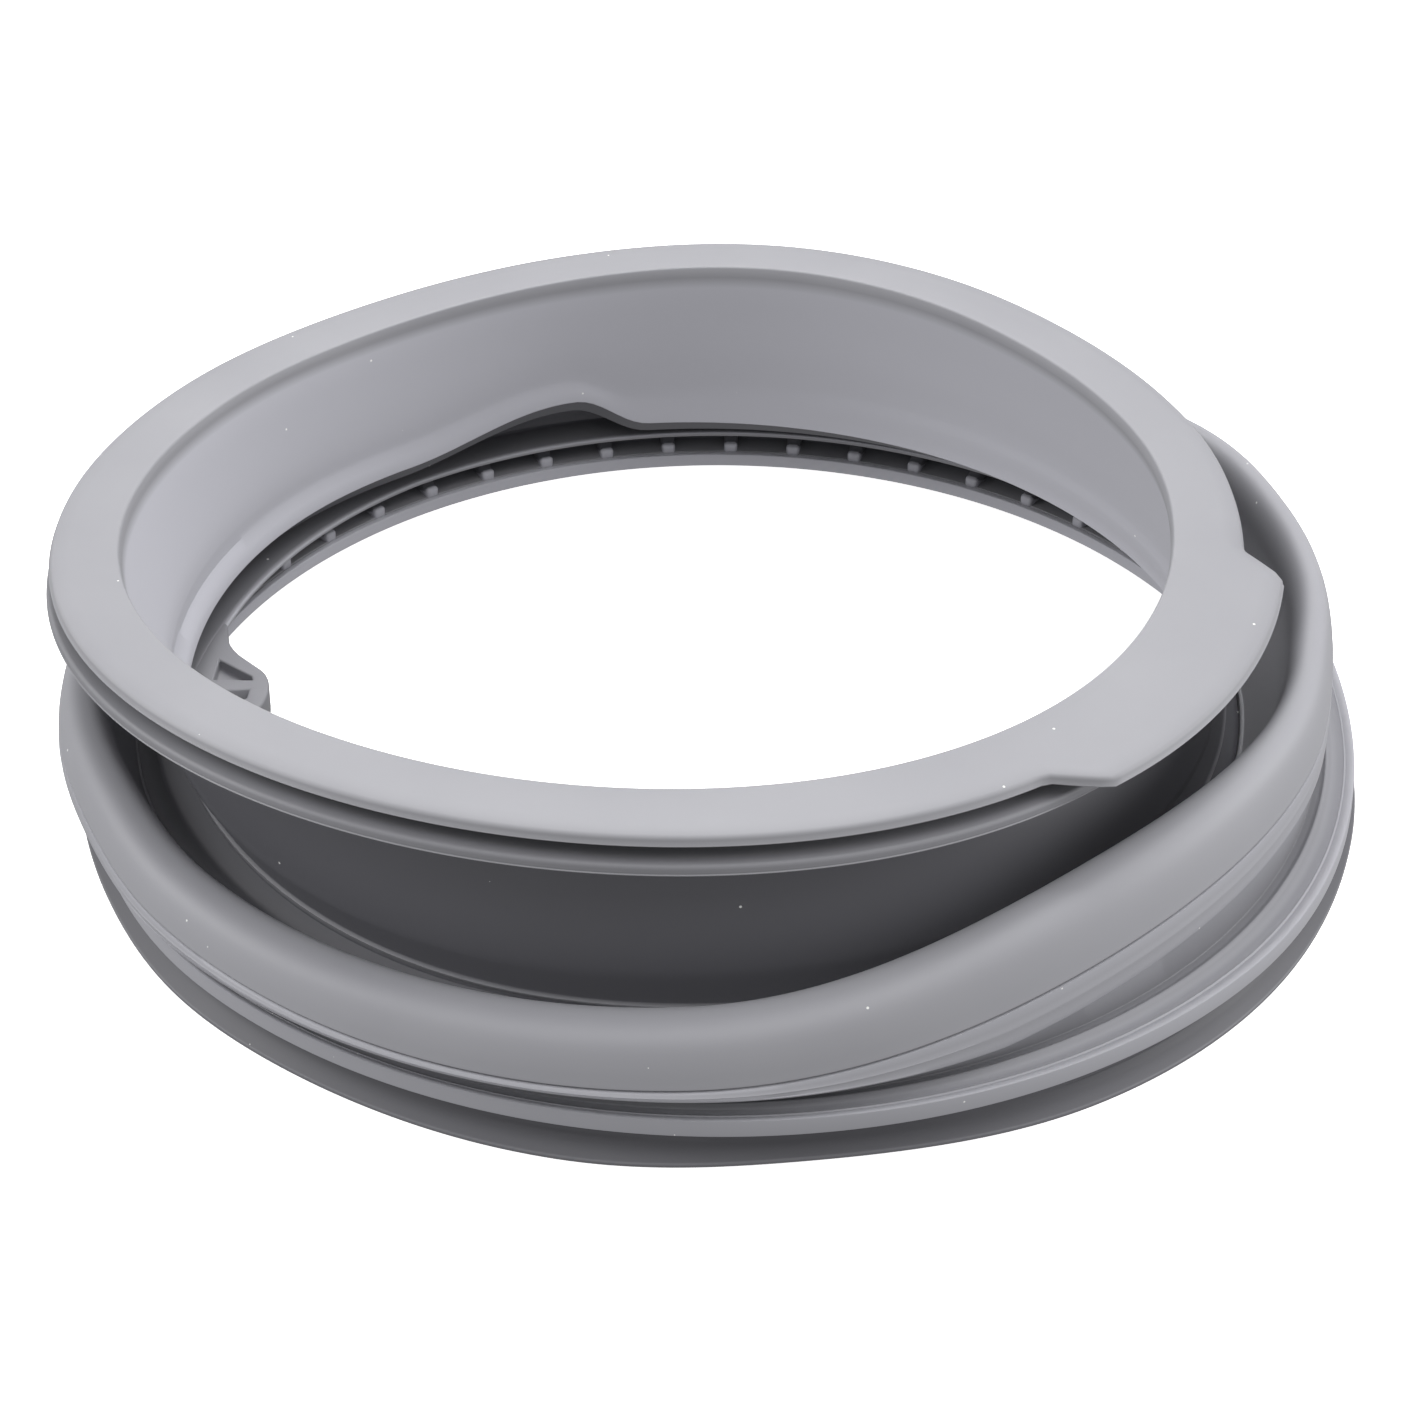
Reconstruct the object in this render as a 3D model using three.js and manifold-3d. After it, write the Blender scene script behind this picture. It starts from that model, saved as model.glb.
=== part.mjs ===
// Door seal of a front-loading washing machine: one moulding in EPDM rubber.
// Millimetres, +Z up. The origin is the middle of the seal's footprint, on its flat tub face.
// The seal stands on its tub end, and the soft door end has sunk and slid sideways.
import * as THREE from "three";
import { mergeVertices } from "three/addons/utils/BufferGeometryUtils.js";
import Module from "manifold-3d";

// Tub end: a stiff ring that is pushed over the rim of the tub and clamped.
const tubBoreRadius = 160.3;
const tubFaceWidth = 24.7;
const tubLip = 4.3;
const channelWidth = 6.8;
const channelDepth = 10.6;
const channelTopLip = 1.7;
const bandProud = 1.6;
const bandBottom = 12;
const bandHeight = 5.2;
const clampGrooveDepth = 4.5;
const edgeRound = 1.6;
const ledgeWidth = 11.2;
const ledgeRise = 1.6;

// Teeth in the channel, which key the seal to the rim of the tub.
const toothCount = 50;
const toothWidth = 3.2;
const toothReach = 8.6;
const toothSlope = 8;
const toothTip = 2.7;
const toothRoot = 0.8;
const firstToothAngle = 2.06;

// Bellows: the roll outside, the fold where the neck turns, and the trough between.
const wall = 2.4;
const rollRadius = 180.3;
const rollMiddle = 34.3;
const rollHalfHeight = 12.2;
const rollHalfWidth = 7.8;
const rollSquareness = 0.8;
const skirtShare = 0.62;
const skirtClearance = 6.3;
const skirtFlare = 1.8;
const valleyInset = 5.2;
const valleyRise = 0.2;
const bandBead = 0.8;
const bandDip = 0.8;
const creaseProud = 0.9;
const creaseHeight = 28;
const foldRadius = 149.8;
const foldHeight = 24;
const troughRadius = 158.5;
const troughHeight = 20;

// Door end: the flange, the groove for the edge of the cabinet, and its lip.
const sealHeight = 82.4;
const doorBoreRadius = 146.7;
const doorEdgeDepth = 2.5;
const flangeFace = 14.8;
const flangeBevel = 4.2;
const flangeBevelDrop = 1;
const flangeThickness = 3.5;
const doorGrooveWidth = 4.8;
const doorGrooveDepth = 11.5;
const doorLip = 2.9;
const doorLipProud = 1.4;
const neckTopRadius = 150.6;

// Finger tab on the flange, in degrees from +X.
const tabStart = -52.3;
const tabEnd = -6.5;
const tabRadius = 176.9;
const tabCorner = 4.1;

// Relief in the fold, where water drains, in degrees from +X.
const reliefPeak = 101;
const reliefRise = 10;
const reliefSteepSide = 10;
const reliefGentleSide = 15;

// Lug inside the tub end. Its flanks end in long fillets along the channel's upper lip.
const lugAngle = 176.5;
const lugReach = 27.9;
const lugTipWidth = 15;
const lugCorner = 3.6;
const lugFlank = 9.7;
const lugWaist = 36;
const lugFillet = 80;
const lugBottom = 4.3;
const lugPocketDepth = 5.5;
const lugRim = 5.8;
const lugWeb = 4;
const lugWebOffset = 3.9;
const lugPocketLength = 10.4;
const lugPocketWidth = 13;

// How the soft parts have settled: a slide along X and Y, and a lift around the ring.
const headSag = { x: -20.4, y: -1.5, right: 1.1, back: -5.9, bow: -2.5, twist: 3.9 };
const foldSag = { x: -8.7, y: -2.6, right: 0, back: 0, bow: 0, twist: 0 };
const rollSag = { x: -7.3, y: -5.9, right: 9, back: 3.1, bow: 4.8, twist: 1.3 };
const rollSwell = { x: 0, y: 0, right: -0.6, back: -1.8, bow: -1.3, twist: -0.1 };
const rollStretch = { x: 0, y: 0, right: 2.4, back: -2.1, bow: 0.1, twist: -0.8 };

// Local changes around the ring, in degrees from +X and to either side of it.
const bulge = { place: -52, spread: 39, width: 1.7, height: 1.8, lift: 3.3, radius: -3.7 };
const foldDent = { place: -165, spread: 60, depth: 6.3 };
const boreDent = { place: -50, spread: 60, depth: 1.9 };
const dents = [
  { place: 0, spread: 42, band: -5, base: -1.7 },
  { place: -175, spread: 42, band: -2.3, base: 0 },
  { place: -52, spread: 36, band: 0.6, base: 2 },
];

// Steps around the ring.
const ringSteps = 66;
const tabSteps = 9;

const degrees = THREE.MathUtils.degToRad;

const tubEndRadius = tubBoreRadius + tubFaceWidth;
const channelTop = tubLip + channelWidth;
const ledgeBottom = channelTop + channelTopLip;
const bandRadius = tubEndRadius + bandProud;
const bandTop = bandBottom + bandHeight;
const flangeRadius = doorBoreRadius + flangeFace + flangeBevel;
const flangeBottom = sealHeight - flangeThickness;
const doorGrooveBottom = flangeBottom - doorGrooveWidth;
const doorLipBottom = doorGrooveBottom - doorLip;
const doorLipRadius = flangeRadius + doorLipProud;

// The value of a lift at an angle around the ring.
function wave(sag, angle) {
  const once = sag.right * Math.cos(angle) + sag.back * Math.sin(angle);
  const twice = sag.bow * Math.cos(2 * angle) + sag.twist * Math.sin(2 * angle);
  return once + twice;
}

// 1 at a middle angle, falling smoothly to 0 at a spread before and after it.
function bump(angle, middle, before, after) {
  const turn = Math.atan2(Math.sin(angle - middle), Math.cos(angle - middle));
  const share = Math.min(Math.abs(turn) / (turn < 0 ? before : after), 1);
  return 0.5 + 0.5 * Math.cos(Math.PI * share);
}

// How much of a local change is felt at an angle.
function felt(angle, change) {
  return bump(angle, degrees(change.place), degrees(change.spread), degrees(change.spread));
}

// A point of the section, carried along by a share of each part's settling.
function settled(angle, r, z, shares) {
  const point = new THREE.Vector3(r * Math.cos(angle), r * Math.sin(angle), z);
  for (const [sag, share] of shares) {
    point.x += share * sag.x;
    point.y += share * sag.y;
    point.z += share * wave(sag, angle);
  }
  return point;
}

// How far the tab reaches past the flange's edge at an angle.
function tabReach(angle) {
  const inside = Math.min(angle - degrees(tabStart), degrees(tabEnd) - angle);
  const share = THREE.MathUtils.clamp(inside / degrees(tabCorner), 0, 1);
  return (tabRadius - flangeRadius) * share;
}

// The door end, from the bore over the flange and down to the neck.
function doorEnd(angle) {
  const reach = tabReach(angle);
  const pulled = boreDent.depth * felt(angle, boreDent);
  const bore = doorBoreRadius - 0.25 * doorEdgeDepth - pulled;
  const grooveFloor = flangeRadius - doorGrooveDepth;
  const outline = [
    [bore, sealHeight - doorEdgeDepth],
    [doorBoreRadius - pulled, sealHeight],
    [doorBoreRadius + flangeFace + reach, sealHeight],
    [flangeRadius + reach - 0.5, sealHeight - flangeBevelDrop],
    [flangeRadius + reach, flangeBottom + 0.4],
    [flangeRadius + reach - 0.6, flangeBottom],
    [grooveFloor, flangeBottom],
    [grooveFloor, doorGrooveBottom],
    [doorLipRadius, doorGrooveBottom],
    [doorLipRadius, doorLipBottom],
    [neckTopRadius + 2, doorLipBottom],
    [neckTopRadius, doorLipBottom - 2.5],
  ];
  return outline.map(([r, z]) => settled(angle, r, z, [[headSag, 1]]));
}

// How far the fold has lifted at an angle, where the relief is.
function foldLift(angle) {
  const steep = degrees(reliefSteepSide);
  return reliefRise * bump(angle, degrees(reliefPeak), steep, degrees(reliefGentleSide));
}

// How far the fold is pushed in at an angle.
function foldInset(angle) {
  return foldDent.depth * felt(angle, foldDent);
}

// The lowest line between the neck and the roll, which gives way where the roll bulges.
function troughPlace(angle) {
  return troughRadius + 0.8 * bulge.radius * felt(angle, bulge);
}

// The outer face of the neck's foot and the trough.
function troughOutside(angle) {
  const lift = foldLift(angle);
  const crease = foldRadius - foldInset(angle) + wall + creaseProud;
  const trough = troughPlace(angle);
  const middle = (crease - creaseProud + trough) / 2;
  return [
    settled(angle, crease, creaseHeight + lift, [[foldSag, 1]]),
    settled(angle, middle, (foldHeight + troughHeight) / 2 + 0.5 * lift + 0.5, [[foldSag, 1]]),
    settled(angle, trough, troughHeight, [[foldSag, 1], [rollLift, 0.2]]),
  ];
}

// The roll's lift and its slide, for the walls that follow only one of them.
const rollLift = { ...rollSag, x: 0, y: 0 };
const rollSlide = { x: rollSag.x, y: rollSag.y, right: 0, back: 0, bow: 0, twist: 0 };

// The roll's own size at an angle, and how far its skirt hangs below the parting line.
function rollShape(angle) {
  const share = felt(angle, bulge);
  const middle = rollMiddle + wave(rollSag, angle) + share * bulge.lift;
  const halfHeight = rollHalfHeight + wave(rollStretch, angle) + share * bulge.height;
  return {
    radius: rollRadius + share * bulge.radius,
    middle,
    halfWidth: rollHalfWidth + wave(rollSwell, angle) + share * bulge.width,
    halfHeight,
    skirt: Math.min(skirtShare * halfHeight, middle - bandTop - skirtClearance),
    flare: skirtFlare * Math.max(-Math.sin(angle), 0),
  };
}

// Points of the roll's rounded section, from its inner side over the top.
function rollArc(angle, to, count, depth) {
  const roll = rollShape(angle);
  const points = [];
  for (let i = 0; i < count; i += 1) {
    const psi = degrees(180 + ((to - 180) * i) / (count - 1));
    const across = Math.sign(Math.cos(psi)) * Math.abs(Math.cos(psi)) ** rollSquareness;
    const up = Math.max(Math.sin(psi), 0) ** rollSquareness;
    const r = roll.radius - roll.halfWidth + (roll.halfWidth - depth) * across;
    const z = roll.middle + (roll.halfHeight - depth) * up;
    points.push(settled(angle, r, z, [[rollSlide, 1]]));
  }
  return points;
}

// The lower edge of the roll's skirt, on its outer face or inside the wall.
function skirtEdge(angle, depth) {
  const roll = rollShape(angle);
  const r = roll.radius + roll.flare * (depth ? 0.5 : 1) - depth;
  return settled(angle, r, roll.middle - roll.skirt + depth, [[rollSlide, 1]]);
}

// How far the dents push the band and the base at an angle.
function dentPush(angle) {
  const push = { band: 0, base: 0 };
  for (const dent of dents) {
    push.band += dent.band * felt(angle, dent);
    push.base += dent.base * felt(angle, dent);
  }
  return push;
}

// The outer face of the tub end, from the valley under the roll to the flat face.
function tubOutside(angle) {
  const push = dentPush(angle);
  const grooveFloor = tubEndRadius - clampGrooveDepth + (push.band + push.base) / 2;
  const valley = rollRadius - valleyInset;
  const edge = bandRadius - 0.4;
  const top = [
    [0, bandTop + valleyRise],
    [0.27, bandTop + bandBead],
    [0.56, bandTop - bandDip],
  ];
  const across = top.map(([share, z]) => {
    const r = valley + share * (edge + push.band - valley);
    return settled(angle, r, z, [[rollSlide, 0.6 * (1 - share)]]);
  });
  const outline = [
    [edge + push.band, bandTop - 0.2],
    [bandRadius + push.band, bandBottom],
    [grooveFloor + 0.5, bandBottom - 0.8],
    [grooveFloor, 0.6 * bandBottom],
    [grooveFloor + 1, 0.4 * bandBottom],
    [tubEndRadius + push.base, edgeRound],
    [tubEndRadius + push.base - 0.4 * edgeRound, 0],
  ];
  return [...across, ...outline.map(([r, z]) => settled(angle, r, z, []))];
}

// The inside of the tub end: its lip, the channel and the ledge.
function tubInside(angle) {
  const channelFloor = tubBoreRadius + channelDepth;
  const outline = [
    [tubBoreRadius + 0.4, 0],
    [tubBoreRadius, 0.4],
    [tubBoreRadius, tubLip],
    [channelFloor, tubLip + 0.6],
    [channelFloor, channelTop],
    [tubBoreRadius + 0.6, channelTop],
    [tubBoreRadius, channelTop + 0.6],
    [tubBoreRadius + 0.3, ledgeBottom],
    [tubBoreRadius + ledgeWidth, ledgeBottom + ledgeRise],
  ];
  return outline.map(([r, z]) => settled(angle, r, z, []));
}

// The inner side of the wall between the tub end and the roll.
function membrane(angle) {
  const z = bandTop + valleyRise - 0.3 * wall;
  return settled(angle, rollRadius - valleyInset - 1.4 * wall, z, [[rollSlide, 0.6]]);
}

// The inner face of the trough and the neck, up to the door end's bore.
function troughInside(angle) {
  const lift = foldLift(angle);
  const inset = foldInset(angle);
  const fold = foldRadius - inset;
  const trough = troughPlace(angle);
  const bore = doorBoreRadius - 0.25 * doorEdgeDepth;
  const neckMiddle = (foldHeight + sealHeight) / 2 + 0.3 * lift;
  const lower = [[foldSag, 1], [rollLift, 0.2]];
  const bend = foldHeight + 12 + 0.6 * lift;
  return [
    settled(angle, trough + 0.8 * wall, troughHeight - 0.6 * wall, lower),
    settled(angle, trough - 0.4 * wall, troughHeight - 1.2 * wall, lower),
    settled(angle, fold + 2.2, foldHeight + 0.6 * lift - 1.6, [[foldSag, 1]]),
    settled(angle, fold, foldHeight + lift, [[foldSag, 1]]),
    settled(angle, fold + 0.8, bend, [[foldSag, 0.8], [headSag, 0.2]]),
    settled(angle, (fold + bore) / 2 + 0.2, neckMiddle, [[foldSag, 0.5], [headSag, 0.5]]),
  ];
}

// The whole section at one angle, as a loop.
function section(angle) {
  const neckRadius = (neckTopRadius + foldRadius - foldInset(angle) + wall) / 2;
  const neckMiddle = (foldHeight + sealHeight) / 2 + 0.3 * foldLift(angle);
  return [
    ...doorEnd(angle),
    settled(angle, neckRadius, neckMiddle, [[foldSag, 0.5], [headSag, 0.5]]),
    ...troughOutside(angle),
    ...rollArc(angle, 0, 9, 0),
    skirtEdge(angle, 0),
    ...tubOutside(angle),
    ...tubInside(angle),
    membrane(angle),
    skirtEdge(angle, wall),
    ...rollArc(angle, 12, 7, wall).reverse(),
    ...troughInside(angle),
  ];
}

// The angles of the steps: even ones around the ring, and finer ones across the tab.
function stepAngles() {
  const corner = tabCorner;
  const across = [tabStart, tabStart + corner];
  for (let i = 1; i < tabSteps; i += 1) {
    const share = i / tabSteps;
    across.push(tabStart + corner + share * (tabEnd - tabStart - 2 * corner));
  }
  across.push(tabEnd - corner, tabEnd);
  const rest = 360 - (tabEnd - tabStart);
  for (let i = 1; i < ringSteps; i += 1) {
    across.push(tabEnd + (rest * i) / ringSteps);
  }
  return across.map(degrees);
}

// A lathe turned from the section, with every point moved to its settled place.
function ringGeometry() {
  const angles = stepAngles();
  const first = section(angles[0]);
  const outline = first.map((p) => new THREE.Vector2(Math.hypot(p.x, p.y), p.z));
  outline.push(outline[0].clone());
  const geometry = new THREE.LatheGeometry(outline, angles.length);
  const position = geometry.attributes.position;
  for (let i = 0; i <= angles.length; i += 1) {
    const points = section(angles[i % angles.length]);
    for (let j = 0; j < outline.length; j += 1) {
      const p = points[j % points.length];
      position.setXYZ(i * outline.length + j, p.x, p.y, p.z);
    }
  }
  return geometry;
}

// A closed solid from a geometry, with its faces turned outwards.
function solidFrom(wasm, geometry) {
  const bare = geometry.clone();
  bare.deleteAttribute("normal");
  bare.deleteAttribute("uv");
  const merged = mergeVertices(bare, 1e-4);
  const vertices = Float32Array.from(merged.attributes.position.array);
  const triangles = Uint32Array.from(merged.index.array);
  if (signedVolume(vertices, triangles) < 0) {
    for (let i = 0; i < triangles.length; i += 3) {
      [triangles[i], triangles[i + 1]] = [triangles[i + 1], triangles[i]];
    }
  }
  const mesh = new wasm.Mesh({ numProp: 3, vertProperties: vertices, triVerts: triangles });
  return new wasm.Manifold(mesh);
}

// The volume inside a mesh, negative where its faces point inwards.
function signedVolume(vertices, triangles) {
  const corner = (i) => new THREE.Vector3().fromArray(vertices, 3 * triangles[i]);
  let volume = 0;
  for (let i = 0; i < triangles.length; i += 3) {
    volume += corner(i).dot(corner(i + 1).cross(corner(i + 2))) / 6;
  }
  return volume;
}

// A plain geometry from a solid.
function geometryFrom(solid) {
  const mesh = solid.getMesh();
  const geometry = new THREE.BufferGeometry();
  const position = new THREE.BufferAttribute(Float32Array.from(mesh.vertProperties), 3);
  geometry.setAttribute("position", position);
  geometry.setIndex(new THREE.BufferAttribute(Uint32Array.from(mesh.triVerts), 1));
  return geometry.toNonIndexed();
}

// One tooth: it stands on the channel's lower lip and slopes back to its roof.
function toothGeometry(angle) {
  const foot = tubBoreRadius + channelDepth + toothRoot;
  const tip = foot - toothRoot - toothReach;
  const outline = new THREE.Shape([
    new THREE.Vector2(tip, tubLip - toothRoot),
    new THREE.Vector2(foot, tubLip - toothRoot),
    new THREE.Vector2(foot, channelTop + 0.5),
    new THREE.Vector2(tip + toothSlope, channelTop + 0.5),
    new THREE.Vector2(tip, tubLip + toothTip),
  ]);
  const geometry = new THREE.ExtrudeGeometry(outline, { depth: toothWidth, bevelEnabled: false });
  geometry.translate(0, 0, -toothWidth / 2);
  geometry.rotateX(Math.PI / 2);
  geometry.rotateZ(angle);
  return geometry;
}

// The lug's outline seen from above, pointing along +X before it is turned.
// Its flanks run out to a width at the ring, or in a long fillet along the channel's lip.
function lugOutline(filleted) {
  const tip = tubBoreRadius - lugReach;
  const root = tubBoreRadius + 4;
  const halfTip = 0.5 * lugTipWidth;
  const corner = halfTip + 4.4;
  const flank = corner + 0.95 * (lugFlank - lugCorner);
  const waist = tubBoreRadius - 9.9;
  const end = Math.asin(lugFillet / tubBoreRadius);
  const along = tubBoreRadius * Math.cos(end);
  const outline = new THREE.Shape();
  outline.moveTo(tip, 0);
  outline.quadraticCurveTo(tip, halfTip, tip + lugCorner, corner);
  outline.lineTo(tip + lugFlank, flank);
  outline.quadraticCurveTo(waist - 0.4, flank + 7, waist, lugWaist);
  if (filleted) {
    outline.quadraticCurveTo(waist + 0.5, lugWaist + 12, along, lugFillet);
    outline.absarc(0, 0, root, end, -end, true);
    outline.lineTo(along, -lugFillet);
    outline.quadraticCurveTo(waist + 0.5, -lugWaist - 12, waist, -lugWaist);
  } else {
    outline.lineTo(root, lugWaist);
    outline.lineTo(root, -lugWaist);
    outline.lineTo(waist, -lugWaist);
  }
  outline.quadraticCurveTo(waist - 0.4, -flank - 7, tip + lugFlank, -flank);
  outline.lineTo(tip + lugCorner, -corner);
  outline.quadraticCurveTo(tip, -halfTip, tip, 0);
  return outline;
}

// A pocket in the lug, on the side of the web given by its sign.
function pocketOutline(side) {
  const inner = tubBoreRadius - lugReach + lugRim;
  const outer = inner + lugPocketLength;
  const edge = 0.5 * lugWeb;
  return new THREE.Shape([
    new THREE.Vector2(inner, lugWebOffset + side * (edge + 2.4)),
    new THREE.Vector2(inner + 0.6, lugWebOffset + side * edge),
    new THREE.Vector2(outer, lugWebOffset + side * 0.5 * edge),
    new THREE.Vector2(outer, lugWebOffset + side * lugPocketWidth),
  ]);
}

// An outline made into a block between two heights and turned to the lug's place.
function lugBlock(outline, bottom, top) {
  const geometry = new THREE.ExtrudeGeometry(outline, {
    depth: top - bottom,
    bevelEnabled: false,
    curveSegments: 4,
  });
  geometry.translate(0, 0, bottom);
  geometry.rotateZ(degrees(lugAngle));
  return geometry;
}

function sealSolid(wasm) {
  let solid = solidFrom(wasm, ringGeometry());
  for (let i = 0; i < toothCount; i += 1) {
    const angle = degrees(firstToothAngle) + (2 * Math.PI * i) / toothCount;
    solid = solid.add(solidFrom(wasm, toothGeometry(angle)));
  }
  solid = solid.add(solidFrom(wasm, lugBlock(lugOutline(false), lugBottom, ledgeBottom)));
  solid = solid.add(solidFrom(wasm, lugBlock(lugOutline(true), channelTop - 0.4, ledgeBottom)));
  for (const side of [-1, 1]) {
    const floor = ledgeBottom - lugPocketDepth;
    solid = solid.subtract(solidFrom(wasm, lugBlock(pocketOutline(side), floor, ledgeBottom + 1)));
  }
  return solid;
}

const wasm = await Module();
wasm.setup();

const rubber = new THREE.MeshStandardMaterial({ color: 0x9c9ca0, roughness: 0.62, metalness: 0 });

const group = new THREE.Group();
const geometry = geometryFrom(sealSolid(wasm));
geometry.computeBoundingBox();
const middle = geometry.boundingBox.getCenter(new THREE.Vector3());
geometry.translate(-middle.x, -middle.y, -geometry.boundingBox.min.z);
const seal = new THREE.Mesh(geometry, rubber);
seal.name = "door_seal";
group.add(seal);

export default group;
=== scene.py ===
import math

import bmesh
import bpy
from bpy.props import CollectionProperty, FloatProperty, FloatVectorProperty, IntProperty, PointerProperty
from bpy.types import Operator, Panel, PropertyGroup
from mathutils import Matrix, Vector


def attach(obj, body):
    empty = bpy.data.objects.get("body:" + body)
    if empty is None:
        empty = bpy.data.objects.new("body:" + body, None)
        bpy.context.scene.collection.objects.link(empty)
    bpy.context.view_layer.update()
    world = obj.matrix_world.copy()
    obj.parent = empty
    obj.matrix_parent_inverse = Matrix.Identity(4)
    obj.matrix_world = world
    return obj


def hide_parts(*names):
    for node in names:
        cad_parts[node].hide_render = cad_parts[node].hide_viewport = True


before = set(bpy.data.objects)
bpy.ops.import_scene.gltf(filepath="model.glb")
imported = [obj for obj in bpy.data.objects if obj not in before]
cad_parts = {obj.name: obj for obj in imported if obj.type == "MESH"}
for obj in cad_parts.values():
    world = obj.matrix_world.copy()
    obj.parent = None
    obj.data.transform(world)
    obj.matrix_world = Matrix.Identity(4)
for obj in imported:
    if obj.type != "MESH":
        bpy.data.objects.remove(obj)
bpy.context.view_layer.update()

bl_info = {
    "name": "Washing Machine Door Seal",
    "version": (1, 0, 0),
    "blender": (4, 5, 0),
    "location": "View3D > Sidebar > Door Seal",
    "description": "Builds a bellows door seal with its tab, teeth and lug, and a small studio",
    "category": "Add Mesh",
}

MM = 0.001


def hex_colour(text):
    """A colour written as sRGB hex, as the linear values that shaders take."""
    values = [int(text[i:i + 2], 16) / 255 for i in (0, 2, 4)]
    return [v / 12.92 if v <= 0.04045 else ((v + 0.055) / 1.055) ** 2.4 for v in values]


def length(name, description, millimetres):
    return FloatProperty(name=name, description=description, default=millimetres * MM, unit="LENGTH")


def angle(name, description, degrees):
    return FloatProperty(name=name, description=description, default=math.radians(degrees), unit="ROTATION")


def colour(name, description, text):
    return FloatVectorProperty(name=name, description=description, subtype="COLOR", default=hex_colour(text))


def slide(description, x, y):
    return FloatVectorProperty(name="Slide", description=description, size=2, unit="LENGTH",
                               default=(x * MM, y * MM))


def lift(description, right, back, bow, twist):
    """Four amplitudes of a lift around the ring: once to the right and back, then twice."""
    values = [v * MM for v in (right, back, bow, twist)]
    return FloatVectorProperty(name="Lift", description=description, size=4, unit="LENGTH", default=values)


class TubEndSizes(PropertyGroup):
    bore_radius: length("Bore radius", "Radius of the hole through the tub end", 160.3)
    face_width: length("Face width", "Width of the flat face that the seal stands on", 24.7)
    lip: length("Lip", "Height of the lip under the channel", 4.3)
    channel_width: length("Channel width", "Height of the channel that takes the rim of the tub", 6.8)
    channel_depth: length("Channel depth", "Depth of that channel", 10.6)
    top_lip: length("Top lip", "Thickness of the lip over the channel", 1.7)
    band_proud: length("Band proud", "How far the clamping band stands out past the face", 1.6)
    band_bottom: length("Band bottom", "Height of the band's lower edge", 12.0)
    band_height: length("Band height", "Height of the band", 5.2)
    groove_depth: length("Groove depth", "Depth of the clamp's groove under the band", 4.5)
    ledge_width: length("Ledge width", "Width of the ledge over the channel", 11.2)
    ledge_rise: length("Ledge rise", "How far the ledge rises away from the bore", 1.6)
    toe: length("Toe", "How far the flash line around the bottom edge stands out", 0.5)


class ToothSizes(PropertyGroup):
    count: IntProperty(name="Count", description="Teeth around the channel", default=50, min=3)
    width: length("Width", "Width of one tooth around the ring", 4.4)
    reach: length("Reach", "How far a tooth stands out from the channel's floor", 8.6)
    tip: length("Tip", "Height of a tooth's rounded tip over the lip", 2.9)
    slope: length("Slope", "How far a tooth leans back to the channel's roof", 8.0)
    rounding: length("Rounding", "Rounding of the tip", 1.7)
    first: angle("First tooth", "Place of the first tooth around the ring", 2.06)


class BellowsSizes(PropertyGroup):
    wall: length("Wall", "Thickness of the soft walls", 2.4)
    roll_radius: length("Roll radius", "Radius of the roll at its parting line", 180.3)
    roll_middle: length("Roll middle", "Height of the roll's parting line", 34.3)
    roll_half_width: length("Roll half width", "Half of the roll's width", 7.8)
    roll_half_height: length("Roll half height", "Height of the roll over its parting line", 12.2)
    roll_flare: length("Roll flare", "How far the roll runs out towards its parting line", 1.2)
    skirt_share: FloatProperty(name="Skirt share", description="Length of the skirt, in roll half heights",
                               default=0.62)
    skirt_clearance: length("Skirt clearance", "Least height of the skirt's edge over the band", 6.3)
    skirt_flare: length("Skirt flare", "How far the skirt runs out at the front", 1.8)
    valley_inset: length("Valley inset", "How far the valley under the roll lies in from the roll", 5.2)
    valley_rise: length("Valley rise", "Height of that valley over the band", 0.2)
    fold_radius: length("Fold radius", "Radius of the inner corner where the neck turns outwards", 149.8)
    fold_height: length("Fold height", "Height of that corner", 24.0)
    crease_height: length("Crease height", "Height of the raised line outside that corner", 28.0)
    crease_proud: length("Crease proud", "How far that line stands out", 1.2)
    trough_radius: length("Trough radius", "Radius of the lowest line between the neck and the roll", 158.5)
    trough_height: length("Trough height", "Height of that line", 20.0)


class DoorEndSizes(PropertyGroup):
    height: length("Height", "Height of the flange's face over the tub face", 82.4)
    bore_radius: length("Bore radius", "Radius of the door opening", 146.7)
    edge_depth: length("Edge depth", "Depth of the flange's inner edge", 2.5)
    edge_overhang: length("Edge overhang", "How far the wall under that edge stands in past it", 0.625)
    face: length("Face", "Width of the flange's flat face", 14.8)
    bevel: length("Bevel", "Width of the bevel around the face", 4.2)
    bevel_drop: length("Bevel drop", "How far the bevel falls", 1.0)
    thickness: length("Thickness", "Thickness of the flange", 3.5)
    groove_width: length("Groove width", "Width of the groove for the cabinet's edge", 4.8)
    groove_depth: length("Groove depth", "Depth of that groove", 11.5)
    lip: length("Lip", "Thickness of the lip under the groove", 2.9)
    lip_proud: length("Lip proud", "How far the lip stands out past the flange", 1.4)
    flash: length("Flash", "How far the flash lines stand out", 0.25)
    neck_radius: length("Neck radius", "Radius of the neck's outer face under the lip", 150.6)


class TabSizes(PropertyGroup):
    start: angle("Start", "Where the pull tab starts around the flange", -52.3)
    end: angle("End", "Where the pull tab ends", -6.5)
    corner: angle("Corner", "How long each slanted end of the tab is", 4.1)
    radius: length("Radius", "Radius of the tab's outer edge", 176.9)


class ReliefSizes(PropertyGroup):
    place: angle("Relief", "Where the fold is lifted so that water drains", 104.2)
    rise: length("Relief rise", "How far the fold is lifted there", 10.0)
    gentle: angle("Gentle side", "Length of the lift's gentle side", 22.0)
    steep: angle("Steep side", "Length of the lift's steep side", 9.0)


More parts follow.
